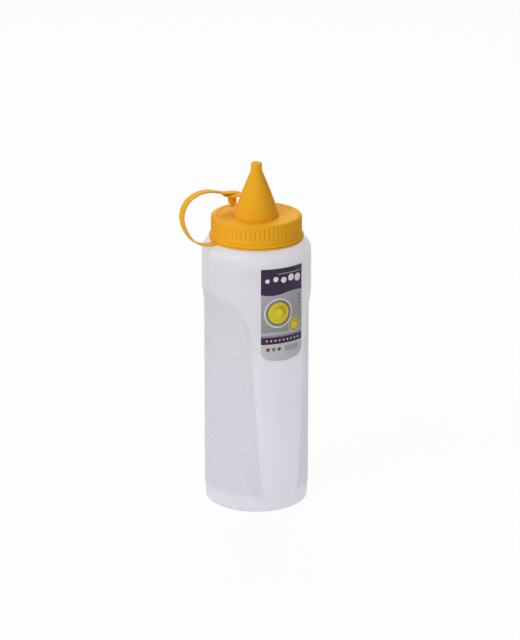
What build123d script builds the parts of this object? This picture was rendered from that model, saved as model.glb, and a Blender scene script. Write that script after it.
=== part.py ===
from build123d import *
import math
import os

os.makedirs("parts", exist_ok=True)

# Condiment squeeze bottle: a thin blow-moulded bottle, a screw cap, a cone nozzle snapped into the
# cap, and a tether whose ring is captive under the cap and whose strap carries a small stopper.
# Millimetres, +Z up. The origin is the middle of the base, on the surface that the bottle stands on.
# The front strip with the label faces -Y, the grips face +X and -X, and the strap leaves towards -X.

# Bottle body
body_r = 35.5
wall = 1.1
shoulder_top_z = 178.5
shoulder_round = 6.0
base_round = 4.5
inner_round_less = 0.5
foot_inner_r = 22.0
push_up = 2.2
push_up_slope = 5.0

# Side grips, which are recessed behind an arch
grip_depth = 1.8
grip_foot_half = 34.1
grip_spring_half = 29.3
grip_spring_z = 121.0
grip_crown_z = 151.0
grip_fade = 14.0
base_tuck_h = 13.0

# Neck and thread
neck_r = 26.2
neck_wall = 1.6
neck_h = 14.6
weld = 0.4
pitch = 4.0
thread_turns = 1.25
thread_h = 1.3
thread_root_half = 0.95
thread_crest_half = 0.5
thread_start = 3.7
thread_clear = 0.3
thread_step_deg = 15.0

# Screw cap
ring_seat_h = 1.5
skirt_wall = 1.7
cap_h = 15.0
cap_round = 2.2
rim_width = 2.2
rim_slope = 0.8
rim_step = 0.4
dish_depth = 1.4
plate = 1.6
bead_round = 1.1
bead_out = 1.3
seal_clear = 0.1
seal_lip = 1.0
seal_lip_h = 2.7
seal_lip_clear = 0.3
rib_count = 60
rib_groove_r = 0.8
rib_groove_depth = 0.32
rib_low = 5.4
rib_top_gap = 2.5

# Nozzle
nozzle_base_r = 14.4
nozzle_seat_clear = 0.3
nozzle_lip = 1.6
nozzle_cone_h = 29.5
nozzle_bulge = 0.45
nozzle_wall = 1.3
tip_r = 3.6
tip_h = 6.0
tip_round = 0.4
bore_run_in = 1.5
orifice_r = 1.45
spigot_r = 12.4
spigot_wall = 1.2
spigot_clear = 0.05
snap = 0.4
snap_h = 0.5
snap_slope = 0.3

# Tether ring, captive in a groove under the cap's skirt
ring_t = 0.95
ring_out = 1.0
ring_clear = 0.05
groove_lip = 0.3
groove_lip_h = 0.35
groove_wall = 0.8

# Strap: the route of its middle line, from the ring to the middle of the stopper, as points of
# (x, y, height above the underside of the cap), where x is counted from the ring's outer edge for
# the root and from the bottle's axis for the loop
strap_w = 5.8
strap_t = 1.0
root_route = [
    (0.2, 0.0, -0.55),
    (-5.5, 0.0, -0.55),
    (-14.8, 0.8, 2.7),
]
loop_route = [
    (-51.0, 2.2, 10.5),
    (-52.6, 3.8, 19.0),
    (-49.3, 5.5, 26.4),
    (-42.0, 7.4, 30.9),
    (-33.0, 9.5, 32.0),
    (-24.0, 11.9, 30.2),
    (-15.8, 14.5, 27.5),
    (-8.4, 17.0, 26.1),
]
strap_hinges = [5.7, 22.0, 40.0, 58.0, 76.0]
hinge_gap = 0.8
link_end_w = 3.8
link_end_t = 0.3
link_taper = 1.0
strap_step = 3.0

# Stopper on the strap's end
disc_r = 6.5
disc_t = 1.2
disc_round = 0.2
collar_r = 2.8
collar_h = 5.5
collar_taper = 0.5
collar_taper_h = 1.2
pin_clear = 0.1
pin_h = 2.3
pin_round = 0.4
pad_sink = 0.3
pad_gap = 0.3
pad_past = 5.2

# Front label
label_half_deg = 25.7
label_low = 105.5
label_high = 168.5
label_t = 0.12
label_corner = 5.0
label_sag = 3.0

# Places that follow from the sizes above
neck_top_z = shoulder_top_z + neck_h
cap_z = shoulder_top_z + ring_seat_h
cap_top_z = cap_z + cap_h
dish_z = cap_top_z - dish_depth
skirt_in_r = neck_r + thread_h + thread_clear
skirt_r = skirt_in_r + skirt_wall
ring_out_r = skirt_r + ring_out
tip_base_z = dish_z + nozzle_cone_h
tip_top_z = tip_base_z + tip_h
pin_r = orifice_r - pin_clear


def profile_face(points):
    """A face in the XZ plane from a list of (r, z) corners."""
    return make_face(Plane.XZ * Polyline(*points, close=True))


def turned(points):
    """The solid of revolution of straight-sided (r, z) corners."""
    return revolve(profile_face(points), Axis.Z)


def arc_points(r, z, radius, start_deg, end_deg, count=8):
    """The (r, z) corners of an arc round (r, z), as count straight steps."""
    angles = [math.radians(start_deg + (end_deg - start_deg) * k / count) for k in range(count + 1)]
    return [(r + radius * math.cos(a), z + radius * math.sin(a)) for a in angles]


def body_shape(radius, inset, flare_from=None):
    """The body's outline as a solid: radius at the wall, everything else drawn in by inset.

    Without flare_from, this is the full round body, whose foot is tucked in by the grip's depth,
    so that the strips between the grips run out into it. With flare_from, the wall is straight up
    to that height and then widens by the grip's depth over grip_fade, so that a recess made with
    it fades out upwards.
    """
    low = inset
    top = shoulder_top_z - inset
    foot = foot_inner_r - inset
    hollow = low + push_up
    corner = base_round - inset * inner_round_less
    round_top = shoulder_round - inset * inner_round_less
    foot_r = radius - grip_depth if flare_from is None else radius
    line = [
        Line((0, hollow), (foot - push_up_slope, hollow)),
        Line((foot - push_up_slope, hollow), (foot, low)),
        Line((foot, low), (foot_r - corner, low)),
        RadiusArc((foot_r - corner, low), (foot_r, low + corner), -corner),
    ]
    if flare_from is None:
        line += [
            Line((foot_r, low + corner), (radius, base_tuck_h)),
            Line((radius, base_tuck_h), (radius, top - round_top)),
            RadiusArc((radius, top - round_top), (radius - round_top, top), -round_top),
            Line((radius - round_top, top), (0, top)),
        ]
    else:
        wide = radius + grip_depth
        line += [
            Line((radius, low + corner), (radius, flare_from)),
            Line((radius, flare_from), (wide, flare_from + grip_fade)),
            Line((wide, flare_from + grip_fade), (wide, top)),
            Line((wide, top), (0, top)),
        ]
    line.append(Line((0, top), (0, hollow)))
    return revolve(make_face([Plane.XZ * e for e in line]), Axis.Z)


def grip_prism(margin):
    """The arch of the grips, seen from the side, as a block right through along X."""
    below = -5.0
    foot = grip_foot_half + margin
    spring = grip_spring_half + margin
    crown = grip_crown_z - grip_spring_z + margin
    slope = (foot - spring) / grip_spring_z
    low_half = foot - slope * below
    edges = [
        Line((-low_half, below), (low_half, below)),
        Line((low_half, below), (spring, grip_spring_z)),
        EllipticalCenterArc((0, grip_spring_z), spring, crown, start_angle=0, arc_size=180),
        Line((-spring, grip_spring_z), (-low_half, below)),
    ]
    arch = make_face([Plane.YZ * e for e in edges])
    return extrude(arch, body_r + 5, both=True)


def thread(root_r, crest_r, start_z):
    """A right-hand helical ridge from root_r to crest_r, lofted through sections round the axis."""
    steps = round(360 * thread_turns / thread_step_deg)
    lead_in = 2
    sections = []
    for k in range(steps + 1):
        share = min(1.0, (min(k, steps - k) + 0.5) / lead_in)
        angle = math.radians(k * thread_step_deg)
        middle = start_z + pitch * k * thread_step_deg / 360
        tip = root_r + (crest_r - root_r) * share
        corners = [
            (root_r, middle - thread_root_half),
            (tip, middle - thread_crest_half),
            (tip, middle + thread_crest_half),
            (root_r, middle + thread_root_half),
        ]
        around = [(r * math.cos(angle), r * math.sin(angle), z) for r, z in corners]
        sections.append(Wire.make_polygon([Vector(*p) for p in around], close=True))
    return Solid.make_loft(sections, ruled=True)


def make_bottle():
    """The hollow bottle: body with its two recessed grips, neck and thread, all one moulding."""
    fade_z = grip_crown_z - grip_fade
    full = body_shape(body_r, 0)
    core = body_shape(body_r - grip_depth, 0, fade_z)
    outside = full - (grip_prism(0) - core)
    full_in = body_shape(body_r - wall, wall)
    core_in = body_shape(body_r - wall - grip_depth, wall, fade_z)
    inside = full_in - (grip_prism(wall) - core_in)
    neck = Pos(0, 0, shoulder_top_z - wall) * Cylinder(
        neck_r, neck_h + wall, align=(Align.CENTER, Align.CENTER, Align.MIN)
    )
    bore = Pos(0, 0, shoulder_top_z - 2 * wall) * Cylinder(
        neck_r - neck_wall, neck_h + 3 * wall, align=(Align.CENTER, Align.CENTER, Align.MIN)
    )
    bottle = (outside + neck) - (inside + bore)
    ridge = thread(neck_r - weld, neck_r + thread_h, shoulder_top_z + thread_start)
    return bottle + ridge


def make_cap():
    """The screw cap: ribbed skirt, dished top with a hole for the nozzle, thread and seal lip."""
    hole_r = spigot_r + spigot_clear
    in_top = neck_top_z + seal_clear
    under_dish = dish_z - plate
    groove_r = skirt_in_r + groove_wall
    lip_z = cap_z - ring_t - 2 * ring_clear
    lip_low = lip_z - groove_lip_h
    seal_out = neck_r - neck_wall - seal_lip_clear
    seal_in = seal_out - seal_lip
    seat_r = nozzle_base_r + nozzle_seat_clear
    rim_r = skirt_r - cap_round - rim_width
    top_round = arc_points(skirt_r - cap_round, cap_top_z - cap_round, cap_round, 90, 0)
    bead_r = skirt_r + bead_out - bead_round
    bead_from = math.degrees(math.acos((skirt_r - bead_r) / bead_round))
    bead = arc_points(bead_r, cap_z + bead_round, bead_round, bead_from, -90)
    corners = [
        (hole_r, dish_z),
        (seat_r, dish_z),
        (rim_r, cap_top_z - rim_step),
        (rim_r + rim_slope, cap_top_z),
        *top_round,
        *bead,
        (groove_r, cap_z),
        (groove_r, lip_z),
        (groove_r + groove_lip, lip_z),
        (groove_r, lip_low),
        (skirt_in_r, lip_low),
        (skirt_in_r, in_top),
        (seal_out, in_top),
        (seal_out, in_top - seal_lip_h),
        (seal_in, in_top - seal_lip_h),
        (seal_in, under_dish),
        (hole_r, under_dish),
    ]
    cap = turned(corners)
    groove_z = cap_z + rib_low
    groove_h = cap_h - rib_low - rib_top_gap
    groove_at = skirt_r + rib_groove_r - rib_groove_depth
    groove = Cylinder(rib_groove_r, groove_h, align=(Align.CENTER, Align.CENTER, Align.MIN))
    cuts = [
        Rot(0, 0, 360 * k / rib_count) * Pos(groove_at, 0, groove_z) * groove
        for k in range(rib_count)
    ]
    cap = cap - cuts
    ridge = thread(skirt_in_r + weld, neck_r + thread_clear, shoulder_top_z + thread_start + pitch / 2)
    return cap + ridge


def make_nozzle():
    """The hollow cone nozzle: slightly bulging cone, straight tip, and a spigot with a snap rib."""
    cone_low = dish_z + nozzle_lip
    mid_r = (nozzle_base_r + tip_r) / 2 + nozzle_bulge
    mid_z = (cone_low + tip_base_z) / 2
    spigot_low = dish_z - plate - spigot_clear - snap_h
    snap_top = dish_z - plate - spigot_clear
    step_r = tip_r + tip_round
    outline = [
        Line((0, dish_z), (nozzle_base_r, dish_z)),
        Line((nozzle_base_r, dish_z), (nozzle_base_r, cone_low)),
        ThreePointArc((nozzle_base_r, cone_low), (mid_r, mid_z), (step_r, tip_base_z)),
        Line((step_r, tip_base_z), (tip_r, tip_base_z + tip_round)),
        Line((tip_r, tip_base_z + tip_round), (tip_r, tip_top_z - tip_round)),
        Line((tip_r, tip_top_z - tip_round), (tip_r - tip_round, tip_top_z)),
        Line((tip_r - tip_round, tip_top_z), (0, tip_top_z)),
        Line((0, tip_top_z), (0, dish_z)),
    ]
    solid = revolve(make_face([Plane.XZ * e for e in outline]), Axis.Z)
    spigot = turned(
        [
            (0, spigot_low),
            (spigot_r, spigot_low),
            (spigot_r + snap, spigot_low + snap_slope),
            (spigot_r + snap, snap_top),
            (spigot_r, snap_top),
            (spigot_r, dish_z),
            (0, dish_z),
        ]
    )
    in_r = spigot_r - spigot_wall
    hollow_top_z = tip_base_z - bore_run_in
    through = 1.0
    hollow = [
        Line((0, spigot_low - through), (in_r, spigot_low - through)),
        Line((in_r, spigot_low - through), (in_r, cone_low)),
        ThreePointArc(
            (in_r, cone_low),
            (mid_r - nozzle_wall, mid_z),
            (orifice_r, hollow_top_z),
        ),
        Line((orifice_r, hollow_top_z), (orifice_r, tip_top_z + through)),
        Line((orifice_r, tip_top_z + through), (0, tip_top_z + through)),
        Line((0, tip_top_z + through), (0, spigot_low - through)),
    ]
    return (solid + spigot) - revolve(make_face([Plane.XZ * e for e in hollow]), Axis.Z)


strap_route = [(x - ring_out_r, y, z) for x, y, z in root_route] + loop_route
strap_line = Spline(*[(x, y, cap_z + z) for x, y, z in strap_route])


def strap_section(s, width, thickness):
    """The strap's cross-section at length s: its width stays as near to the Y direction as it can."""
    middle = strap_line.position_at(s, position_mode=PositionMode.LENGTH)
    along = strap_line.tangent_at(s, position_mode=PositionMode.LENGTH).normalized()
    across = (Vector(0, 1, 0) - along * along.Y).normalized()
    up = along.cross(across)
    half_w, half_t = across * (width / 2), up * (thickness / 2)
    corners = [
        middle - half_w - half_t,
        middle + half_w - half_t,
        middle + half_w + half_t,
        middle - half_w + half_t,
    ]
    return Wire.make_polygon(corners, close=True)


def strap_piece(start, end, thin_start=True, thin_end=True):
    """The stretch of strap between two lengths, lofted through sections about strap_step apart.

    An end at a hinge is thinner and narrower than the strap, so that the links clear each other
    when they bend.
    """
    low = start + link_taper if thin_start else start
    high = end - link_taper if thin_end else end
    count = max(1, math.ceil((high - low) / strap_step))
    sections = [
        strap_section(low + (high - low) * k / count, strap_w, strap_t) for k in range(count + 1)
    ]
    if thin_start:
        sections.insert(0, strap_section(start, link_end_w, link_end_t))
    if thin_end:
        sections.append(strap_section(end, link_end_w, link_end_t))
    return Solid.make_loft(sections, ruled=True)


def make_ring():
    """The tether's ring, loose in the cap's groove, with the root of the strap."""
    in_r = skirt_in_r + groove_wall + ring_clear * 2
    low = cap_z - ring_clear - ring_t
    ring = turned([(in_r, low), (ring_out_r, low), (ring_out_r, low + ring_t), (in_r, low + ring_t)])
    root = strap_piece(0, strap_hinges[0] - hinge_gap / 2, thin_start=False)
    level = Pos(0, 0, low) * Box(
        4 * body_r, 4 * body_r, ring_t, align=(Align.CENTER, Align.CENTER, Align.MIN)
    )
    return ring + (root & level)


def make_stopper():
    """The stopper: pad of strap over a disc, a collar tapered at its foot, and a short pin."""
    middle = strap_line.position_at(1.0)
    along = strap_line.tangent_at(1.0).normalized()
    flat = Vector(along.X, along.Y, 0).normalized()
    disc_top = middle.Z - strap_t / 2
    disc_low = disc_top - disc_t
    collar_low = disc_low - collar_h
    shape = turned(
        [
            (0, collar_low - pin_h),
            (pin_r - pin_round, collar_low - pin_h),
            (pin_r, collar_low - pin_h + pin_round),
            (pin_r, collar_low),
            (collar_r - collar_taper, collar_low),
            (collar_r, collar_low + collar_taper_h),
            (collar_r, disc_low),
            (disc_r - disc_round, disc_low),
            (disc_r, disc_low + disc_round),
            (disc_r, disc_top - disc_round),
            (disc_r - disc_round, disc_top),
            (0, disc_top),
        ]
    )
    body = Pos(middle.X, middle.Y, 0) * shape
    reach = disc_r + pad_gap / 2
    pad_plane = Plane(origin=(middle.X, middle.Y, disc_top - pad_sink), x_dir=flat, z_dir=(0, 0, 1))
    tongue = Pos(-reach, 0, 0) * Box(
        reach + pad_past - strap_w / 2,
        strap_w,
        strap_t + pad_sink,
        align=(Align.MIN, Align.CENTER, Align.MIN),
    )
    nose = Pos(pad_past - strap_w / 2, 0, 0) * Cylinder(
        strap_w / 2, strap_t + pad_sink, align=(Align.CENTER, Align.CENTER, Align.MIN)
    )
    pad = pad_plane * (tongue + nose)
    return body + pad


def make_label():
    """The paper label: a skin on the front strip, square at the top, rounded at its foot."""
    half = body_r * math.sin(math.radians(label_half_deg))
    shell = Cylinder(body_r + label_t, 1000) - Cylinder(body_r, 1000)
    low = label_low + label_sag
    corner_in = label_corner * (1 - math.sqrt(0.5))
    edges = [
        Line((-half, label_high), (-half, low + label_corner)),
        ThreePointArc(
            (-half, low + label_corner),
            (-half + corner_in, low + corner_in),
            (-half + label_corner, low),
        ),
        ThreePointArc((-half + label_corner, low), (0, label_low), (half - label_corner, low)),
        ThreePointArc(
            (half - label_corner, low),
            (half - corner_in, low + corner_in),
            (half, low + label_corner),
        ),
        Line((half, low + label_corner), (half, label_high)),
        Line((half, label_high), (-half, label_high)),
    ]
    outline = make_face([Plane.XZ * e for e in edges])
    return shell & extrude(outline, body_r + 5)


strap_names = ["strap_root", "strap_outer", "strap_top", "strap_upper"]
strap_stop = strap_line.length - disc_r - pad_gap * 1.5
pieces = {
    "bottle": make_bottle(),
    "front_label": make_label(),
    "screw_cap": make_cap(),
    "nozzle": make_nozzle(),
    "tether_ring": make_ring(),
    "strap_end": strap_piece(strap_hinges[-1] + hinge_gap / 2, strap_stop, thin_end=False),
    "stopper": make_stopper(),
}
for name, start, end in zip(strap_names, strap_hinges, strap_hinges[1:]):
    pieces[name] = strap_piece(start + hinge_gap / 2, end - hinge_gap / 2)

for name, shape in pieces.items():
    export_step(shape, f"parts/{name}.step")
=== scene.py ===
import bmesh
import bpy
import math
import numpy as np
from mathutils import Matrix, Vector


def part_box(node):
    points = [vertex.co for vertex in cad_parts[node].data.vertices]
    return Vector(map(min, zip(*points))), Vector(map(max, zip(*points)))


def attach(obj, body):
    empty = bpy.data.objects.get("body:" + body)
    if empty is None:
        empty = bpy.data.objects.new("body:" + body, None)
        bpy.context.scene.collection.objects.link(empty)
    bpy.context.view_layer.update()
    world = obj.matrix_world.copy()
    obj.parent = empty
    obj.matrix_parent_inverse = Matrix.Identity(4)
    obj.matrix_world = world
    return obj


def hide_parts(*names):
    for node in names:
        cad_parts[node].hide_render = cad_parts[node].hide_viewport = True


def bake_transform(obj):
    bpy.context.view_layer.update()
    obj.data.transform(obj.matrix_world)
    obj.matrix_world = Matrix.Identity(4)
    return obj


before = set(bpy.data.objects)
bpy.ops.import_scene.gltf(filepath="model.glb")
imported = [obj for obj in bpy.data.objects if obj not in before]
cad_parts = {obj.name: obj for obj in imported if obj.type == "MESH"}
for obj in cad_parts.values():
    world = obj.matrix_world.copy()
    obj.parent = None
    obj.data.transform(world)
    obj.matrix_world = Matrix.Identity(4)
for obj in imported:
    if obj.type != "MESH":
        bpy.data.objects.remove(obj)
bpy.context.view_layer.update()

# Camera: it stands in front of the label, a little to the bottle's left, and looks slightly down on
# the cap. The lens is long, so that the sides of the bottle stay nearly parallel.
camera_turn = math.radians(-29.5)
camera_rise = math.radians(18.59)
camera_distance = 2.2
camera_height = 0.115
camera_reach = 20.0
film_height_mm = 24.0
lens_mm = 126.31
lens_shift = (0.0056, 0.0172)


def direction(turn, rise):
    """The unit vector (sin turn cos rise, -cos turn cos rise, sin rise): turn counts round Z from
    the front, -Y, towards +X, and rise counts up from the floor."""
    flat = math.cos(rise)
    return np.array([math.sin(turn) * flat, -math.cos(turn) * flat, math.sin(rise)])


towards_camera = direction(camera_turn, camera_rise)
camera = bpy.data.objects.new("camera", bpy.data.cameras.new("camera"))
bpy.context.scene.collection.objects.link(camera)
camera.location = towards_camera * camera_distance + np.array([0, 0, camera_height])
camera.rotation_euler = (math.pi / 2 - camera_rise, 0, camera_turn)
camera.data.sensor_fit = "VERTICAL"
camera.data.sensor_height = film_height_mm
camera.data.lens = lens_mm
camera.data.shift_x, camera.data.shift_y = lens_shift
camera.data.clip_end = camera_reach
bpy.context.scene.camera = camera
bpy.context.scene.view_settings.view_transform = "Standard"

# Bottle: one blow-moulded piece of milky polyethylene, open at the neck. Two grips are recessed
# behind an arch on its sides, and a fine mould line runs over the shoulder at each side.
body_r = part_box("bottle")[1].x
neck_top_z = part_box("bottle")[1].z
shoulder_z = 0.1785
shoulder_cut = 0.0072
shoulder_in_cut = 0.0066
base_cut = 0.005175
base_in_cut = 0.0045
base_side_z = 0.0063
base_in_side_z = 0.00675
tuck_h = 0.013
tuck_cut = 0.004
tuck_foot_cut = 0.0009
foot_cut = 0.002
foot_in_r = 0.022
push_up = 0.0022
push_up_slope = 0.005
wall = 0.0011
neck_r = 0.0262
neck_wall = 0.0016
neck_foot_cut = 0.0008
lip_round = 0.0004
grip_depth = 0.0018
grip_foot_half = 0.0341
grip_spring_half = 0.0293
grip_spring_z = 0.121
grip_crown_z = 0.151
grip_fade = 0.014
grip_edge = 0.0011
mould_line_h = 0.00022
mould_line_w = 0.0008
mould_line_fade = 0.003
body_columns = 300
body_step = 0.0017
inner_step = 0.006
sharp_turn = math.radians(50)
merge_distance = 1e-7
rounding_slack = 1e-6
shortest_side = 1e-9


def ease(low, high, value):
    """0 below low, 1 above high, and 3t^2 - 2t^3 of the share t between them."""
    t = np.clip((value - low) / (high - low), 0, 1)
    return t * t * (3 - 2 * t)


def rounded_line(corners, step, cut_points=5, closed=False):
    """Points of a line of straight sides whose corners are parabolas.

    Each corner is (r, z, cut). Its parabola is (1-t)^2 a + 2t(1-t) c + t^2 b, where c is the corner
    and a and b lie on its two sides at the distance cut. Straight stretches are divided by step.
    """
    place = np.array([corner[:2] for corner in corners], float)
    cut = np.array([corner[2] for corner in corners], float)
    t = np.linspace(0, 1, cut_points)[:, None]
    parts = []
    for k in range(len(place)):
        if cut[k] == 0:
            parts.append(place[k][None])
            continue
        back = place[k - 1] - place[k]
        ahead = place[(k + 1) % len(place)] - place[k]
        a = place[k] + back / np.linalg.norm(back) * cut[k]
        b = place[k] + ahead / np.linalg.norm(ahead) * cut[k]
        parts.append((1 - t) ** 2 * a + 2 * t * (1 - t) * place[k] + t**2 * b)
    line = np.concatenate(parts + ([parts[0][:1]] if closed else []))
    length = np.linalg.norm(np.diff(line, axis=0), axis=1)
    pieces = np.maximum(1, np.ceil(length / step - rounding_slack)).astype(int)
    dense = [
        line[k] + (line[k + 1] - line[k]) * np.arange(pieces[k])[:, None] / pieces[k]
        for k in range(len(pieces))
        if length[k] > shortest_side
    ]
    return np.concatenate(dense + ([] if closed else [line[-1:]]))


def new_piece(name, points, faces, material, open_sheet=False):
    """An object at the origin from arrays of points and of faces, with merged doubles, and smooth
    shading up to the edges that turn by more than sharp_turn. The normals of a closed piece are
    turned outward, and an open sheet keeps its own."""
    mesh = bpy.data.meshes.new(name)
    mesh.from_pydata(points.reshape(-1, 3).tolist(), [], faces.tolist())
    shape = bmesh.new()
    shape.from_mesh(mesh)
    bmesh.ops.remove_doubles(shape, verts=shape.verts, dist=merge_distance)
    if not open_sheet:
        bmesh.ops.recalc_face_normals(shape, faces=shape.faces)
    shape.to_mesh(mesh)
    shape.free()
    mesh.shade_smooth()
    mesh.set_sharp_from_angle(angle=sharp_turn)
    mesh.materials.append(material)
    piece = bpy.data.objects.new(name, mesh)
    bpy.context.scene.collection.objects.link(piece)
    return piece


def grid_faces(rows, columns, close_rows=False, close_columns=True):
    """The quads of a grid of rows by columns, joined round where it is closed."""
    r = np.arange(rows if close_rows else rows - 1)[:, None]
    c = np.arange(columns if close_columns else columns - 1)[None, :]
    here, ahead = r * columns, (r + 1) % rows * columns
    c_next = (c + 1) % columns
    corners = [here + c, here + c_next, ahead + c_next, ahead + c]
    return np.stack(corners, -1).reshape(-1, 4)


def turned(line, columns, radius=None):
    """A grid of points round Z: (r cos a, r sin a, z) for each (r, z) of the line and each angle a.
    radius(a, r, z) gives the radius where the piece isn't round."""
    a = np.linspace(0, 2 * math.pi, columns, endpoint=False)[None, :]
    r, z = line[:, :1], line[:, 1:]
    r_here = r + 0 * a if radius is None else radius(a, r, z)
    return np.stack([r_here * np.cos(a), r_here * np.sin(a), z + 0 * r_here], -1)


def grip_inside(y, z):
    """How far a point of the side view lies inside the arch of a grip, in metres: from the straight
    legs below the spring, and from the half ellipse above it."""
    leg = grip_foot_half + (grip_spring_half - grip_foot_half) * z / grip_spring_z
    rise = np.maximum(z - grip_spring_z, 0) / (grip_crown_z - grip_spring_z)
    arch = 1 - np.sqrt((y / grip_spring_half) ** 2 + rise**2)
    return np.where(z < grip_spring_z, leg - np.abs(y), arch * grip_spring_half)


def body_radius(a, r, z):
    """The round wall's radius r, drawn in to the grip's core inside its arch. The core lies deeper
    than the wall by grip_depth, and widens to it over the last grip_fade below the crown. Above
    the crown stands the mould line, a ridge of mould_line_h exp(-(y / mould_line_w)^2)."""
    core = body_r - grip_depth * np.clip((grip_crown_z - z) / grip_fade, 0, 1)
    inside = ease(-grip_edge, grip_edge, grip_inside(r * np.sin(a), z))
    line = mould_line_h * np.exp(-((r * np.sin(a) / mould_line_w) ** 2))
    band_start = ease(grip_crown_z - mould_line_fade, grip_crown_z + mould_line_fade, z)
    on_band = band_start * (r > neck_r)
    return r - inside * np.maximum(r - core, 0) + line * on_band


body_outside = rounded_line(
    [
        (0, push_up, 0),
        (foot_in_r - push_up_slope, push_up, foot_cut),
        (foot_in_r, 0, foot_cut),
        (body_r - grip_depth, 0, base_cut),
        (body_r - grip_depth, base_side_z, tuck_foot_cut),
        (body_r, tuck_h, tuck_cut),
        (body_r, shoulder_z, shoulder_cut),
        (neck_r, shoulder_z, neck_foot_cut),
        (neck_r, neck_top_z, lip_round),
    ],
    body_step,
)
body_inside = rounded_line(
    [
        (neck_r - neck_wall, neck_top_z, lip_round),
        (neck_r - neck_wall, shoulder_z - wall, neck_foot_cut),
        (body_r - wall, shoulder_z - wall, shoulder_in_cut),
        (body_r - wall, tuck_h, tuck_cut),
        (body_r - grip_depth - wall, base_in_side_z, tuck_foot_cut),
        (body_r - grip_depth - wall, wall, base_in_cut),
        (foot_in_r - wall, wall, foot_cut),
        (foot_in_r - wall - push_up_slope, push_up + wall, foot_cut),
        (0, push_up + wall, 0),
    ],
    inner_step,
)
body_line = np.concatenate([body_outside, body_inside])
body_inset = np.repeat([0, wall], [len(body_outside), len(body_inside)])[:, None]


def bottle_radius(a, r, z):
    """The wall has the same thickness inside the grips as beside them."""
    return body_radius(a, r + body_inset, z) - body_inset


def value_node(tree, operation, first, second=0.5, third=0.5):
    """A Math node whose inputs are sockets or plain numbers."""
    node = tree.nodes.new("ShaderNodeMath")
    node.operation = operation
    for socket, given in zip(node.inputs, (first, second, third)):
        if isinstance(given, bpy.types.NodeSocket):
            tree.links.new(given, socket)
        else:
            socket.default_value = given
    return node.outputs[0]


def moulded_surface():
    """The node group of a moulded plastic's skin, from a long wave and a fine grain, both noises of
    0 to 1. With the swing, wave - middle, the colour is multiplied by 1 + Cloud swing, and the
    roughness is Gloss + gloss_swing swing. The height is grain + wave_height wave."""
    middle, gloss_swing, wave_height = 0.5, 0.18, 3.0
    wave_detail, grain_detail = 2.0, 3.0
    group = bpy.data.node_groups.new("moulded_surface", "ShaderNodeTree")
    for way, kind, name in (
        ("INPUT", "Color", "Colour"),
        ("INPUT", "Float", "Cloud"),
        ("INPUT", "Float", "Gloss"),
        ("INPUT", "Float", "Grain size"),
        ("INPUT", "Float", "Wave size"),
        ("OUTPUT", "Color", "Colour"),
        ("OUTPUT", "Float", "Roughness"),
        ("OUTPUT", "Float", "Height"),
    ):
        group.interface.new_socket(name, in_out=way, socket_type="NodeSocket" + kind)
    given = group.nodes.new("NodeGroupInput").outputs
    result = group.nodes.new("NodeGroupOutput").inputs
    place = group.nodes.new("ShaderNodeTexCoord").outputs["Object"]
    noises = []
    for size, detail in ((given["Wave size"], wave_detail), (given["Grain size"], grain_detail)):
        noise = group.nodes.new("ShaderNodeTexNoise")
        noise.inputs["Detail"].default_value = detail
        group.links.new(place, noise.inputs["Vector"])
        group.links.new(value_node(group, "DIVIDE", 1.0, size), noise.inputs["Scale"])
        noises.append(noise.outputs["Fac"])
    wave, grain = noises
    swing = value_node(group, "SUBTRACT", wave, middle)
    brightness = value_node(group, "MULTIPLY_ADD", swing, given["Cloud"], 1.0)
    shade = group.nodes.new("ShaderNodeVectorMath")
    shade.operation = "SCALE"
    group.links.new(given["Colour"], shade.inputs[0])
    group.links.new(brightness, shade.inputs["Scale"])
    group.links.new(shade.outputs[0], result["Colour"])
    roughness = value_node(group, "MULTIPLY_ADD", swing, gloss_swing, given["Gloss"])
    group.links.new(roughness, result["Roughness"])
    height = value_node(group, "MULTIPLY_ADD", wave, wave_height, grain)
    group.links.new(height, result["Height"])
    return group


moulded = moulded_surface()


def moulded_plastic(name, colour, cloud, gloss, grain_m, wave_m, bump_m, shine, let_through):
    """A plastic with the moulded surface: colour and roughness from the group, a bump of bump_m for
    its height, and let_through, the share of the light that a thin wall lets through, scattered."""
    material = bpy.data.materials.new(name)
    material.use_nodes = True
    tree = material.node_tree
    shader = tree.nodes["Principled BSDF"]
    skin = tree.nodes.new("ShaderNodeGroup")
    skin.node_tree = moulded
    skin.inputs["Colour"].default_value = (*colour, 1)
    skin.inputs["Cloud"].default_value = cloud
    skin.inputs["Gloss"].default_value = gloss
    skin.inputs["Grain size"].default_value = grain_m
    skin.inputs["Wave size"].default_value = wave_m
    bump = tree.nodes.new("ShaderNodeBump")
    bump.inputs["Distance"].default_value = bump_m
    bump.inputs["Strength"].default_value = 1.0
    tree.links.new(skin.outputs["Colour"], shader.inputs["Base Color"])
    tree.links.new(skin.outputs["Roughness"], shader.inputs["Roughness"])
    tree.links.new(skin.outputs["Height"], bump.inputs["Height"])
    tree.links.new(bump.outputs[0], shader.inputs["Normal"])
    shader.inputs["Specular IOR Level"].default_value = shine
    if let_through > 0:
        through = tree.nodes.new("ShaderNodeBsdfTranslucent")
        mix = tree.nodes.new("ShaderNodeMixShader")
        mix.inputs[0].default_value = let_through
        tree.links.new(skin.outputs["Colour"], through.inputs["Color"])
        tree.links.new(bump.outputs[0], through.inputs["Normal"])
        tree.links.new(shader.outputs[0], mix.inputs[1])
        tree.links.new(through.outputs[0], mix.inputs[2])
        tree.links.new(mix.outputs[0], tree.nodes["Material Output"].inputs["Surface"])
    return material


milky = moulded_plastic(
    "milky_polyethylene",
    colour=(0.932, 0.935, 0.955),
    cloud=0.02,
    gloss=0.32,
    grain_m=0.0009,
    wave_m=0.028,
    bump_m=0.00002,
    shine=0.45,
    let_through=0.75,
)
bottle = new_piece(
    "bottle_body",
    turned(body_line, body_columns, bottle_radius),
    grid_faces(len(body_line), body_columns),
    milky,
)
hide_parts("bottle")
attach(bottle, "bottle")

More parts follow.
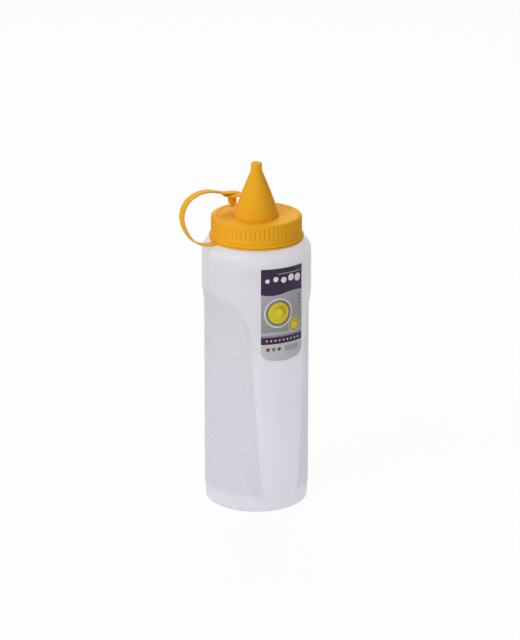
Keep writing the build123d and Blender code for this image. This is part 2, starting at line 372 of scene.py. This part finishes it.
# Grip pimples: the mould leaves rows of small round pimples all over both grips, each row shifted
# by half a step, so that a wet hand doesn't slip. They are part of the bottle's moulding.
pimple_r = 0.0006
pimple_h = 0.00045
pimple_step = 0.00165
pimple_rows_step = 0.00184
pimple_low_z = 0.0125
pimple_margin = 0.0022
pimple_sides = 6
pimple_root = 0.00006


def grip_pimples(side):
    """Low domes on the grip that faces side * X: a staggered lattice of arc length and height is
    laid on the core of the grip, and each dome is a ring of pimple_sides points and a top."""
    rows = np.arange(pimple_low_z, grip_crown_z, pimple_rows_step)
    count = int(grip_foot_half * math.pi / pimple_step / 2)
    steps = np.arange(-count, count + 1)
    z, k = np.meshgrid(rows, steps, indexing="ij")
    shift = (np.arange(len(rows)) % 2)[:, None] * 0.5
    a = (k + shift) * pimple_step / (body_r - grip_depth)
    radius = body_radius(a, body_r + 0 * a, z)
    y = radius * np.sin(a)
    keep = (np.abs(a) < math.pi / 2) & (grip_inside(y, z) > pimple_margin)
    a, z, radius = a[keep], z[keep], radius[keep]
    out = np.stack([np.cos(a), np.sin(a), 0 * a], -1)
    along = np.stack([-np.sin(a), np.cos(a), 0 * a], -1)
    up = np.array([0.0, 0.0, 1.0])
    middle = out * radius[:, None] + up * z[:, None]
    turn = np.arange(pimple_sides) * 2 * math.pi / pimple_sides
    ring = (
        middle[:, None]
        + pimple_r * np.cos(turn)[None, :, None] * along[:, None]
        + pimple_r * np.sin(turn)[None, :, None] * up
        - pimple_root * out[:, None]
    )
    points = np.concatenate([ring, (middle + pimple_h * out)[:, None]], 1)
    points[..., :2] *= side
    return points


domes = np.concatenate([grip_pimples(1), grip_pimples(-1)])
corner = np.arange(pimple_sides)
dome_sides = np.stack([corner, (corner + 1) % pimple_sides, corner * 0 + pimple_sides], -1)
dome_first = np.arange(len(domes))[:, None, None] * (pimple_sides + 1)
dome_faces = (dome_first + dome_sides).reshape(-1, 3).tolist()
dome_feet = (dome_first[:, 0] + corner[::-1]).tolist()
pimple_mesh = bpy.data.meshes.new("grip_pimples")
pimple_mesh.from_pydata(domes.reshape(-1, 3).tolist(), [], dome_faces + dome_feet)
pimple_mesh.shade_smooth()
pimple_mesh.materials.append(milky)
pimples = bpy.data.objects.new("grip_pimples", pimple_mesh)
bpy.context.scene.collection.objects.link(pimples)
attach(pimples, "bottle")

# Neck thread: a right-hand ridge of one turn and a quarter round the neck, which fades into the
# wall at both ends. It is under the cap, and shows when the cap is turned up.
thread_pitch = 0.004
thread_turns = 1.25
thread_h = 0.0013
thread_root_half = 0.00095
thread_crest_half = 0.0005
thread_start = 0.0037
thread_clear = 0.0003
thread_sink = 0.0004
thread_fade = 0.1
thread_steps = 90


def thread_ridge(root_r, crest_r, start_z):
    """A trapezoid carried along a helix: at the share t of its length it stands at the angle
    2 pi turns t and rises by pitch turns t. Over the share thread_fade at either end its height
    fades out."""
    t = np.linspace(0, 1, thread_steps)[:, None]
    a = 2 * math.pi * thread_turns * t
    full = ease(0, thread_fade, t) * ease(0, thread_fade, 1 - t)
    crest = root_r + (crest_r - root_r) * full
    r = np.concatenate([root_r + 0 * t, crest, crest, root_r + 0 * t], 1)
    rise = np.array([-thread_root_half, -thread_crest_half, thread_crest_half, thread_root_half])
    z = start_z + thread_pitch * thread_turns * t + rise[None, :]
    return np.stack([r * np.cos(a), r * np.sin(a), z], -1)


neck_ridge = thread_ridge(neck_r - thread_sink, neck_r + thread_h, shoulder_z + thread_start)
neck_thread = new_piece("neck_thread", neck_ridge, grid_faces(*neck_ridge.shape[:2]), milky)
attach(neck_thread, "bottle")

# Front label: printed paper stuck on the strip between the grips, with a narrow white margin. Its
# print is a plain design: dark bands, a grey field with ringed discs, and a pale striped foot.
label_low_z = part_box("front_label")[0].z
label_high_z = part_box("front_label")[1].z
label_half_deg = 25.7
label_t = 0.00012
label_sag = 0.003
label_corner = 0.005
label_top_corner = 0.0012
label_columns = 97
label_rows = 121
label_margin = 0.0005
ink_edge = 0.00008
label_h = label_high_z - label_low_z
label_half = body_r * math.radians(label_half_deg)


def corner_rise(side, radius):
    """How far a rounded corner draws the edge in, at the distance side from the label's side."""
    into = np.clip(radius - side, 0, radius)
    return radius - np.sqrt(radius**2 - into**2)


def label_points(radius):
    """The label on a cylinder of this radius: across runs along the arc, and up from the curved
    foot to the top. It gives each point's place in space, and its arc length and height."""
    across = np.linspace(-1, 1, label_columns)[None, :] * label_half
    up = np.linspace(0, 1, label_rows)[:, None]
    side = label_half - np.abs(across)
    low = label_low_z + label_sag * (across / label_half) ** 2 + corner_rise(side, label_corner)
    high = label_high_z - corner_rise(side, label_top_corner)
    z = low + (high - low) * up
    across = across + 0 * z
    a = across / body_r
    round_it = np.stack([radius * np.sin(a), -radius * np.cos(a), z], -1)
    return round_it, np.stack([across, z], -1)


def picture_mask(tree, distance, limit):
    """1 where the distance is under the limit, over an edge as soft as ink_edge."""
    ramp = value_node(tree, "DIVIDE", value_node(tree, "SUBTRACT", limit, distance), ink_edge)
    inside = value_node(tree, "ADD", ramp, 0.5)
    inside.node.use_clamp = True
    return inside


def over(tree, below, colour, mask):
    """The colour printed over what is below, where the mask is 1."""
    mix = tree.nodes.new("ShaderNodeMix")
    mix.data_type = "RGBA"
    tree.links.new(mask, mix.inputs["Factor"])
    for socket, given in ((mix.inputs["A"], below), (mix.inputs["B"], colour)):
        if isinstance(given, bpy.types.NodeSocket):
            tree.links.new(given, socket)
        else:
            socket.default_value = (*given, 1)
    return mix.outputs["Result"]


def both(tree, first, second):
    """The product of two values, which is 1 where two masks are both 1."""
    return value_node(tree, "MULTIPLY", first, second)


def disc(sheet, centre, radius):
    """The mask of a disc of the print: the distance from its centre is under its radius. The sheet
    is the node tree with its sockets for x and y."""
    tree, x, y = sheet
    dx = value_node(tree, "SUBTRACT", x, centre[0])
    dy = value_node(tree, "SUBTRACT", y, centre[1])
    square = value_node(tree, "ADD", both(tree, dx, dx), both(tree, dy, dy))
    return picture_mask(tree, value_node(tree, "SQRT", square), radius)


def disc_row(sheet, count, first, step, radius, grow=0.0, zigzag=0.0):
    """The masks of a row of discs from the first centre on. Each is larger than the last by grow,
    and every second one stands higher by zigzag."""
    return [
        disc(
            sheet,
            (first[0] + step[0] * k, first[1] + step[1] * k + zigzag * (k % 2)),
            radius + grow * k,
        )
        for k in range(count)
    ]


def bar(sheet, low, high):
    """The mask of an upright rectangle of the print between its low and its high corner."""
    tree, *place = sheet
    sides = []
    for socket, near, far in zip(place, low, high):
        away = value_node(tree, "ABSOLUTE", value_node(tree, "SUBTRACT", socket, (near + far) / 2))
        sides.append(picture_mask(tree, away, (far - near) / 2))
    return both(tree, *sides)


def printed_label():
    """The label's print, worked out from its UV map, which holds metres along the arc (x) and up
    from the foot (y). Its marks, each a colour and a mask, are laid over each other in order."""
    white, dark, ink = (0.88, 0.88, 0.90), (0.036, 0.014, 0.056), (0.10, 0.10, 0.11)
    grey_low, grey_high, grey_foot = (0.30, 0.30, 0.315), (0.44, 0.44, 0.46), (0.62, 0.62, 0.64)
    yellow, amber, gold = (0.80, 0.62, 0.02), (0.62, 0.40, 0.015), (0.85, 0.70, 0.06)
    olive, stripe_grey = (0.30, 0.31, 0.24), (0.24, 0.24, 0.25)
    red, green = (0.33, 0.05, 0.06), (0.12, 0.26, 0.08)
    header_low, band_high, band_low = 0.0455, 0.0165, 0.0118
    wave_length, wave_rise = 0.031, 0.0009
    thin_line, thin_line_y, thin_line_step = 0.0003, 0.0182, 0.0010
    ringed_discs = (((-0.0035, 0.0325), 0.0098), ((0.0088, 0.0235), 0.0052))
    rings = ((1.0, white), (0.93, grey_low), (0.80, ink), (0.74, yellow))
    shade_aside, shade_up, shade_share, heart_share = 0.12, 0.10, 0.40, 0.30
    header_bar = ((-0.004, 0.0585), (0.0135, 0.0592))
    stripe_count, stripe_step, stripe = 9, 0.0012, ((0.0012, 0.0062), (0.0018, 0.0100))
    beyond = 1.0
    fibre_scale, fibre_detail, fibre_bump_m = 2600, 4, 0.000012
    paper_gloss, paper_gloss_swing, paper_shine = 0.35, 0.2, 0.3

    material = bpy.data.materials.new("printed_paper")
    material.use_nodes = True
    tree = material.node_tree
    shader = tree.nodes["Principled BSDF"]
    apart = tree.nodes.new("ShaderNodeSeparateXYZ")
    tree.links.new(tree.nodes.new("ShaderNodeUVMap").outputs[0], apart.inputs[0])
    x, y = apart.outputs[0], apart.outputs[1]
    sheet = (tree, x, y)

    marks = []
    for k in range(2):
        low_y = thin_line_y + thin_line_step * k
        marks.append((white, bar(sheet, (-beyond, low_y), (beyond, low_y + thin_line))))
    for centre, radius in ringed_discs:
        for share, colour in rings:
            marks.append((colour, disc(sheet, centre, radius * share)))
        aside = (centre[0] + radius * shade_aside, centre[1] + radius * shade_up)
        marks.append((amber, disc(sheet, aside, radius * shade_share)))
        marks.append((gold, disc(sheet, centre, radius * heart_share)))
    small_dots = disc_row(
        sheet, count=4, first=(0.0128, 0.0425), step=(0, -0.0030), radius=0.0008, grow=-0.0001
    )
    marks += [(ink, dot) for dot in small_dots]
    wave = value_node(tree, "SINE", value_node(tree, "MULTIPLY", x, 2 * math.pi / wave_length))
    header_edge = value_node(tree, "MULTIPLY_ADD", wave, wave_rise, header_low)
    marks.append((dark, picture_mask(tree, header_edge, y)))
    header_dots = disc_row(
        sheet,
        count=5,
        first=(-0.0112, 0.0545),
        step=(0.0056, 0),
        radius=0.0014,
        grow=0.0003,
        zigzag=0.0009,
    )
    marks += [(white, dot) for dot in header_dots]
    marks.append((olive, bar(sheet, *header_bar)))
    marks.append((dark, bar(sheet, (-beyond, band_low), (beyond, band_high))))
    band_dots = disc_row(
        sheet, count=9, first=(-0.0116, 0.0141), step=(0.0029, 0), radius=0.00055
    )
    marks += [(white, dot) for dot in band_dots]
    marks.append((grey_foot, picture_mask(tree, y, band_low)))
    for k in range(stripe_count):
        low, high = [(corner[0] + stripe_step * k, corner[1]) for corner in stripe]
        marks.append((stripe_grey, bar(sheet, low, high)))
    foot_dots = disc_row(sheet, count=3, first=(-0.0108, 0.0082), step=(0.0038, 0), radius=0.0013)
    marks += list(zip((red, green, ink), foot_dots))

    up = value_node(
        tree, "DIVIDE", value_node(tree, "SUBTRACT", y, band_high), header_low - band_high
    )
    print_colour = over(tree, grey_low, grey_high, up)
    for colour, mask in marks:
        print_colour = over(tree, print_colour, colour, mask)
    half_width = label_half - label_margin
    inside = bar(sheet, (-half_width, -beyond), (half_width, label_h - label_margin))
    tree.links.new(over(tree, white, print_colour, inside), shader.inputs["Base Color"])

    fibres = tree.nodes.new("ShaderNodeTexNoise")
    fibres.inputs["Scale"].default_value = fibre_scale
    fibres.inputs["Detail"].default_value = fibre_detail
    tree.links.new(tree.nodes.new("ShaderNodeTexCoord").outputs["Object"], fibres.inputs["Vector"])
    bump = tree.nodes.new("ShaderNodeBump")
    bump.inputs["Distance"].default_value = fibre_bump_m
    tree.links.new(fibres.outputs["Fac"], bump.inputs["Height"])
    tree.links.new(bump.outputs[0], shader.inputs["Normal"])
    gloss = value_node(
        tree, "MULTIPLY_ADD", fibres.outputs["Fac"], paper_gloss_swing, paper_gloss
    )
    tree.links.new(gloss, shader.inputs["Roughness"])
    shader.inputs["Specular IOR Level"].default_value = paper_shine
    return material


label_outer, label_flat = label_points(body_r + label_t)
label = new_piece(
    "printed_label",
    label_outer,
    grid_faces(label_rows, label_columns, close_columns=False),
    printed_label(),
    open_sheet=True,
)
label_uv = label.data.uv_layers.new(name="print")
label_corner_of = np.zeros(len(label.data.loops), np.int32)
label.data.loops.foreach_get("vertex_index", label_corner_of)
label_places = (label_flat - np.array([0, label_low_z])).reshape(-1, 2)
label_uv.data.foreach_set("uv", label_places[label_corner_of].astype(np.float32).ravel())
thickness = label.modifiers.new("paper", "SOLIDIFY")
thickness.thickness = label_t
thickness.offset = -1
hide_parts("front_label")
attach(label, "bottle")

# Screw cap: one moulding of opaque yellow polypropylene. Fine upright ribs run round its skirt over
# a plain band, a bead closes its foot, and its top is a shallow dish with a low rim.
cap_z = 0.180
cap_top_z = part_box("screw_cap")[1].z
cap_bead_out_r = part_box("screw_cap")[1].x
skirt_r = 0.0295
skirt_in_r = neck_r + thread_h + thread_clear
cap_round = 0.0022
rim_width = 0.0022
rim_slope = 0.0007
rim_drop = 0.0005
rim_foot_cut = 0.0006
dish_z = 0.1936
plate = 0.0016
bead_round = 0.0011
bead_arc_deg = (100, -80)
bead_points = 13
bead_blend = 0.0003
seal_out_r = 0.0243
seal_in_r = 0.0233
seal_h = 0.0027
cap_seat_gap = 0.0001
cap_in_top_z = neck_top_z + cap_seat_gap
cap_in_cut = 0.0005
ring_groove_r = 0.0286
ring_groove_h = 0.00105
groove_lip = 0.0003
groove_lip_h = 0.00035
rib_count = 60
rib_groove = 0.0007
rib_wave = (0.45, 0.92)
rib_low_z = 0.1854
rib_low_fade = (-0.0003, 0.0004)
rib_high_z = 0.1925
rib_high_fade = (-0.0004, 0.0006)
rib_skin = 0.0009
rib_columns = 12
nozzle_seat_r = 0.0147
nozzle_hole_r = 0.01245
cap_step = 0.0011
point_cut = 0.00005
sharp_cut = 0.0001
edge_cut = 0.0002
soft_cut = 0.0003

yellow_look = dict(
    colour=(0.925, 0.455, 0.017),
    cloud=0.05,
    gloss=0.58,
    bump_m=0.000012,
    shine=0.12,
    let_through=0.0,
)
yellow = moulded_plastic("yellow_polypropylene", grain_m=0.0005, wave_m=0.016, **yellow_look)

bead_mid_r = cap_bead_out_r - bead_round
bead_mid_z = cap_z + bead_round
bead_line = [
    (bead_mid_r + bead_round * math.cos(turn), bead_mid_z + bead_round * math.sin(turn), 0)
    for turn in np.radians(np.linspace(*bead_arc_deg, bead_points))
]
rim_in_r = skirt_r - cap_round - rim_width
groove_top_z = cap_z - ring_groove_h
groove_low_z = groove_top_z - groove_lip_h
seal_low_z = cap_in_top_z - seal_h
cap_line = rounded_line(
    [
        (nozzle_hole_r, dish_z, edge_cut),
        (nozzle_seat_r, dish_z, sharp_cut),
        (rim_in_r, cap_top_z - rim_drop, rim_foot_cut),
        (rim_in_r + rim_slope, cap_top_z, soft_cut),
        (skirt_r, cap_top_z, cap_round),
        (skirt_r, bead_mid_z + bead_round + bead_blend, bead_blend),
        *bead_line,
        (bead_mid_r, cap_z, 0),
        (ring_groove_r, cap_z, 0),
        (ring_groove_r, groove_top_z, 0),
        (ring_groove_r + groove_lip, groove_top_z, point_cut),
        (ring_groove_r, groove_low_z, point_cut),
        (skirt_in_r, groove_low_z, sharp_cut),
        (skirt_in_r, cap_in_top_z, cap_in_cut),
        (seal_out_r, cap_in_top_z, edge_cut),
        (seal_out_r, seal_low_z, edge_cut),
        (seal_in_r, seal_low_z, edge_cut),
        (seal_in_r, dish_z - plate, cap_in_cut),
        (nozzle_hole_r, dish_z - plate, sharp_cut),
    ],
    cap_step,
    closed=True,
)


def cap_radius(a, r, z):
    """The ribs: between two ribs the skirt lies rib_groove deeper, in a groove with the outline of
    a raised cosine whose crest is cut flat, and the grooves end softly above and below."""
    wave = (1 + np.cos(rib_count * a)) / 2
    groove = ease(*rib_wave, wave)
    above = ease(rib_low_z + rib_low_fade[0], rib_low_z + rib_low_fade[1], z)
    below = 1 - ease(rib_high_z + rib_high_fade[0], rib_high_z + rib_high_fade[1], z)
    return r - rib_groove * groove * above * below * (r > skirt_r - rib_skin)


cap = new_piece(
    "screw_cap_shell",
    turned(cap_line, rib_count * rib_columns, cap_radius),
    grid_faces(len(cap_line), rib_count * rib_columns, close_rows=True),
    yellow,
)
cap_thread_z = shoulder_z + thread_start + thread_pitch / 2
cap_ridge = thread_ridge(skirt_in_r + thread_sink, neck_r + thread_clear, cap_thread_z)
cap_thread = new_piece("cap_thread", cap_ridge, grid_faces(*cap_ridge.shape[:2]), yellow)
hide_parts("screw_cap")
for part in (cap, cap_thread):
    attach(part, "cap")

# Nozzle: a tall hollow cone of the same plastic, moulded by itself and snapped into the cap's hole.
# It has a short upright lip at its foot, a slight bulge, and a straight tip with a round hole.
tip_top_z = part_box("nozzle")[1].z
spigot_low_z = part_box("nozzle")[0].z
nozzle_base_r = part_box("nozzle")[1].x
nozzle_lip = 0.0016
nozzle_lip_ledge = 0.00015
nozzle_lip_blend = 0.0004
cone_top_z = 0.2231
cone_bulge = 0.00045
cone_corners = 14
cone_in_cut = 0.001
tip_r = 0.0036
tip_step = 0.0004
orifice_r = 0.00145
orifice_cut = 0.00015
spigot_r = 0.0124
spigot_wall = 0.0012
snap = 0.0004
snap_ramp = 0.0003
snap_gap = 0.00005
bore_run_in = 0.0015
nozzle_step = 0.002
nozzle_columns = 128


def cone_points(low, high):
    """Corners along a cone's side that swells by cone_bulge: at the share t of its height it lies
    4 cone_bulge t (1 - t) outside the straight line."""
    t = np.linspace(0, 1, cone_corners)[:, None]
    line = np.array(low) + (np.array(high) - np.array(low)) * t
    line[:, :1] += 4 * cone_bulge * t * (1 - t)
    return [(r, z, 0) for r, z in line]


cone_low_z = dish_z + nozzle_lip
cone_foot = (nozzle_base_r - nozzle_lip_ledge, cone_low_z + nozzle_lip_blend)
snap_top_z = dish_z - plate - snap_gap
nozzle_line = rounded_line(
    [
        (nozzle_base_r, dish_z, edge_cut),
        (nozzle_base_r, cone_low_z, soft_cut),
        *cone_points(cone_foot, (tip_r + tip_step, cone_top_z)),
        (tip_r, cone_top_z + tip_step, edge_cut),
        (tip_r, tip_top_z, tip_step),
        (orifice_r, tip_top_z, orifice_cut),
        (orifice_r, cone_top_z - bore_run_in, soft_cut),
        (spigot_r - spigot_wall, cone_low_z, cone_in_cut),
        (spigot_r - spigot_wall, spigot_low_z, edge_cut),
        (spigot_r, spigot_low_z, sharp_cut),
        (spigot_r + snap, spigot_low_z + snap_ramp, sharp_cut),
        (spigot_r + snap, snap_top_z, point_cut),
        (spigot_r, snap_top_z, point_cut),
        (spigot_r, dish_z, sharp_cut),
    ],
    nozzle_step,
    closed=True,
)
nozzle = new_piece(
    "cone_nozzle",
    turned(nozzle_line, nozzle_columns),
    grid_faces(len(nozzle_line), nozzle_columns, close_rows=True),
    yellow,
)
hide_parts("nozzle")
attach(nozzle, "cap")

# Tether ring: a flat ring that turns freely in a groove under the cap's skirt. It is one moulding
# with the strap and the stopper, of a softer grade of the same yellow plastic.
ring_clear = 0.0001
ring_proud = 0.001
ring_in_r = ring_groove_r + ring_clear
ring_out_r = skirt_r + ring_proud
ring_low_z, ring_high_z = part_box("tether_ring")[0].z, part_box("tether_ring")[1].z
ring_round = 0.0002
ring_step = 0.001
ring_columns = 180

soft_yellow = moulded_plastic("soft_yellow_plastic", grain_m=0.0004, wave_m=0.012, **yellow_look)
ring_line = rounded_line(
    [
        (ring_in_r, ring_low_z, ring_round),
        (ring_out_r, ring_low_z, ring_round),
        (ring_out_r, ring_high_z, ring_round),
        (ring_in_r, ring_high_z, ring_round),
    ],
    ring_step,
    closed=True,
)
ring = new_piece(
    "captive_ring",
    turned(ring_line, ring_columns),
    grid_faces(len(ring_line), ring_columns, close_rows=True),
    soft_yellow,
)
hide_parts("tether_ring")
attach(ring, "tether")

# Strap: a flat band that leaves the ring level, rises beside the cap in a loop and comes back over
# it to the stopper. Each piece of it spans one hinge and meets the next in the middle of a link.
strap_w = 0.0058
strap_t = 0.0010
strap_round = 0.0003
root_route = [(0.0002, 0.0, -0.00055), (-0.0055, 0.0, -0.00055), (-0.0148, 0.0008, 0.0027)]
loop_route = [
    (-0.0510, 0.0022, 0.0105),
    (-0.0526, 0.0038, 0.0190),
    (-0.0493, 0.0055, 0.0264),
    (-0.0420, 0.0074, 0.0309),
    (-0.0330, 0.0095, 0.0320),
    (-0.0240, 0.0119, 0.0302),
    (-0.0158, 0.0145, 0.0275),
    (-0.0084, 0.0170, 0.0261),
]
strap_hinges = [0.0057, 0.0220, 0.0400, 0.0580, 0.0760]
strap_bodies = ["tether", "strap_root", "strap_outer", "strap_top", "strap_upper", "strap_end"]
strap_bends = [0.0045, 0.0045, 0.0045, 0.0045, 0.0027]
strap_grid = 0.0006
strap_first_join = 0.0002
strap_last_join = 0.0788
pad_free = 0.0040
pad_past = 0.0052
pad_points = 12
nose_rings = 9


def smooth_route(points, per_stretch=60):
    """The natural cubic spline through the points: its second derivatives, bend, solve the usual
    three-term equations and are zero at both ends. A stretch is the cubic that has the points and
    the second derivatives of both its ends, at the distance u from one and left from the other."""
    points = np.array(points)
    h = np.linalg.norm(np.diff(points, axis=0), axis=1)
    slope = np.diff(points, axis=0) / h[:, None]
    middle = np.diag(2 * (h[:-1] + h[1:])) + np.diag(h[1:-1], 1) + np.diag(h[1:-1], -1)
    bend = np.zeros_like(points)
    bend[1:-1] = np.linalg.solve(middle, 6 * np.diff(slope, axis=0))
    u = np.linspace(0, 1, per_stretch, endpoint=False)[None, :, None] * h[:, None, None]
    left = h[:, None, None] - u
    size = h[:, None, None]
    curve = (bend[:-1, None] * left**3 + bend[1:, None] * u**3) / (6 * size)
    curve += (points[:-1, None] / size - bend[:-1, None] * size / 6) * left
    curve += (points[1:, None] / size - bend[1:, None] * size / 6) * u
    return np.concatenate([curve.reshape(-1, 3), points[-1:]])


def line_lengths(line):
    """The length from the start of a line to each of its points."""
    return np.concatenate([[0], np.cumsum(np.linalg.norm(np.diff(line, axis=0), axis=1))])


strap_curve = smooth_route(
    [(x - ring_out_r, y, cap_z + z) for x, y, z in root_route]
    + [(x, y, cap_z + z) for x, y, z in loop_route]
)
strap_length = line_lengths(strap_curve)[-1]
stopper_middle = strap_curve[-1]
strap_ahead = strap_curve[-1] - strap_curve[-2]
strap_ahead /= np.linalg.norm(strap_ahead)
pad_line = stopper_middle + strap_ahead * np.linspace(0, pad_past, pad_points)[1:, None]
strap_curve = np.concatenate([strap_curve, pad_line])
strap_lengths = line_lengths(strap_curve)


def strap_places(s):
    """The strap's middle line at the lengths s, with its tangent, its width direction, which stays
    as near to Y as it can, and the direction of its upper side."""
    middle = np.stack([np.interp(s, strap_lengths, strap_curve[:, k]) for k in range(3)], -1)
    steps = np.gradient(strap_curve, strap_lengths, axis=0)
    along = np.stack([np.interp(s, strap_lengths, steps[:, k]) for k in range(3)], -1)
    along /= np.linalg.norm(along, axis=1)[:, None]
    across = np.array([0.0, 1.0, 0.0]) - along * along[:, 1:2]
    across /= np.linalg.norm(across, axis=1)[:, None]
    return middle, along, across, np.cross(along, across)


def strap_stretch(low, high, nose=False):
    """The band's section carried along the middle line from one length to another. Both ends are
    closed by a ring of the section drawn in to its middle. With a nose, the half width ends as a
    half circle of radius n: at the distance d before its tip it is sqrt(n^2 - (n - d)^2)."""
    half, half_t = strap_w / 2, strap_t / 2
    s = np.linspace(low, high - half * nose, int((high - low) / strap_grid))
    width = np.full(len(s), half)
    if nose:
        before_tip = half * (1 - np.sin(np.linspace(0, math.pi / 2, nose_rings)[1:-1]))
        s = np.concatenate([s, high - before_tip])
        width = np.concatenate([width, np.sqrt(half**2 - (half - before_tip) ** 2)])
    middle, along, across, up = strap_places(s)
    corners = [(-half, -half_t), (half, -half_t), (half, half_t), (-half, half_t)]
    outline = rounded_line(
        [(*corner, strap_round) for corner in corners], strap_w, cut_points=4, closed=True
    )
    rings = (
        middle[:, None]
        + outline[None, :, :1] * (width / half)[:, None, None] * across[:, None]
        + outline[None, :, 1:] * up[:, None]
    )
    ends = [np.broadcast_to(middle[k], rings[0].shape)[None] for k in (0, -1)]
    return np.concatenate([ends[0], rings, ends[1]])


strap_joins = [(a + b) / 2 for a, b in zip(strap_hinges, strap_hinges[1:])]
strap_joins = [strap_first_join, *strap_joins, strap_last_join]
for number, hinge in enumerate(strap_hinges):
    points = strap_stretch(strap_joins[number], strap_joins[number + 1])
    stretch = new_piece(
        f"strap_stretch_{number + 1}", points, grid_faces(*points.shape[:2]), soft_yellow
    )
    near, far = strap_bodies[number], strap_bodies[number + 1]
    bend = strap_bends[number]
    before, after = strap_places(np.array([hinge - bend, hinge + bend]))[0]
    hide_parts(far)
    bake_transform(stretch)

# Stopper: a disc under the strap's end with a collar and a short pin below it. The strap comes down
# on the disc at a slant and ends there in a rounded tongue.
stopper_disc_r = 0.0065
stopper_disc_t = 0.0012
stopper_collar_r = 0.0028
stopper_collar_h = 0.0055
stopper_taper = 0.0005
stopper_taper_h = 0.0012
stopper_pin_r = 0.00135
stopper_pin_cut = 0.0004
stopper_neck_cut = 0.0004
stopper_step = 0.0008
stopper_columns = 64
stopper_low_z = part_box("stopper")[0].z

disc_high_z = stopper_middle[2] - strap_t / 2
disc_low_z = disc_high_z - stopper_disc_t
collar_low_z = disc_low_z - stopper_collar_h
stopper_line = rounded_line(
    [
        (0, stopper_low_z, 0),
        (stopper_pin_r, stopper_low_z, stopper_pin_cut),
        (stopper_pin_r, collar_low_z, edge_cut),
        (stopper_collar_r - stopper_taper, collar_low_z, edge_cut),
        (stopper_collar_r, collar_low_z + stopper_taper_h, soft_cut),
        (stopper_collar_r, disc_low_z, stopper_neck_cut),
        (stopper_disc_r, disc_low_z, soft_cut),
        (stopper_disc_r, disc_high_z, soft_cut),
        (0, disc_high_z, 0),
    ],
    stopper_step,
)
plug_points = turned(stopper_line, stopper_columns)
plug_points[..., :2] += stopper_middle[:2]
plug_faces = grid_faces(*plug_points.shape[:2])
stopper = new_piece("stopper_plug", plug_points, plug_faces, soft_yellow)
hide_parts("stopper")
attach(stopper, "stopper")

tongue_points = strap_stretch(strap_last_join, strap_lengths[-1], nose=True)
tongue_faces = grid_faces(*tongue_points.shape[:2])
pad = new_piece("stopper_tongue", tongue_points, tongue_faces, soft_yellow)
pad_start, pad_end = strap_places(np.array([strap_last_join, strap_length - pad_free]))[0]
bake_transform(pad)

# Floor and light: a white studio. The camera sees white round the bottle and the floor keeps a
# faint shadow. Of the four soft square lamps two stand at the camera's left, one above the camera's
# line of sight and one behind the bottle.
floor_half = 3.0
floor_white = 0.94
floor_grey = (0.9, 0.9, 0.9)
world_level = 0.25
lamp_size = 0.9
lamp_distance = 1.6
lamp_aim = np.array([0.0, 0.0, 0.15])
lamp_places = {
    "lamp_left": (-125, 40, 2.0),
    "lamp_left_front": (-45, 35, 9.5),
    "lamp_front": (0, 35, 4.5),
    "lamp_back": (180, 45, 9.5),
}


def seen_straight(tree):
    """1 for rays that show the background itself: from the camera, in a gloss or through glass."""
    rays = tree.nodes.new("ShaderNodeLightPath")
    camera_ray, glossy_ray = rays.outputs["Is Camera Ray"], rays.outputs["Is Glossy Ray"]
    either = value_node(tree, "MAXIMUM", camera_ray, glossy_ray)
    return value_node(tree, "MAXIMUM", either, rays.outputs["Is Transmission Ray"])


floor_mesh = bpy.data.meshes.new("floor")
floor_corners = floor_half * np.array([(-1, -1, 0), (1, -1, 0), (1, 1, 0), (-1, 1, 0)])
floor_mesh.from_pydata(floor_corners.tolist(), [], [(0, 1, 2, 3)])
floor = bpy.data.objects.new("floor", floor_mesh)
bpy.context.scene.collection.objects.link(floor)
floor_material = bpy.data.materials.new("studio_floor")
floor_material.use_nodes = True
floor_tree = floor_material.node_tree
floor_tree.nodes.clear()
floor_result = floor_tree.nodes.new("ShaderNodeOutputMaterial")
floor_diffuse = floor_tree.nodes.new("ShaderNodeBsdfDiffuse")
floor_diffuse.inputs["Color"].default_value = (*floor_grey, 1)
floor_glow = floor_tree.nodes.new("ShaderNodeEmission")
floor_mix = floor_tree.nodes.new("ShaderNodeMixShader")
floor_share = value_node(floor_tree, "MULTIPLY", seen_straight(floor_tree), floor_white)
floor_tree.links.new(floor_share, floor_mix.inputs[0])
floor_tree.links.new(floor_diffuse.outputs[0], floor_mix.inputs[1])
floor_tree.links.new(floor_glow.outputs[0], floor_mix.inputs[2])
floor_tree.links.new(floor_mix.outputs[0], floor_result.inputs["Surface"])
floor_mesh.materials.append(floor_material)

world = bpy.data.worlds.new("studio")
bpy.context.scene.world = world
world.use_nodes = True
world_tree = world.node_tree
backdrop = world_tree.nodes["Background"]
backdrop.inputs["Color"].default_value = (1, 1, 1, 1)
level = value_node(
    world_tree, "MULTIPLY_ADD", seen_straight(world_tree), 1 - world_level, world_level
)
world_tree.links.new(level, backdrop.inputs["Strength"])

for lamp_name, (turn_deg, rise_deg, power) in lamp_places.items():
    # the turn counts from the camera's side of the bottle, and to its right
    out = direction(camera_turn + math.radians(turn_deg), math.radians(rise_deg))
    lamp = bpy.data.objects.new(lamp_name, bpy.data.lights.new(lamp_name, "AREA"))
    bpy.context.scene.collection.objects.link(lamp)
    lamp.data.energy = power
    lamp.data.size = lamp_size
    lamp.location = lamp_aim + out * lamp_distance
    lamp.rotation_euler = Vector(-out).to_track_quat("-Z", "Y").to_euler()
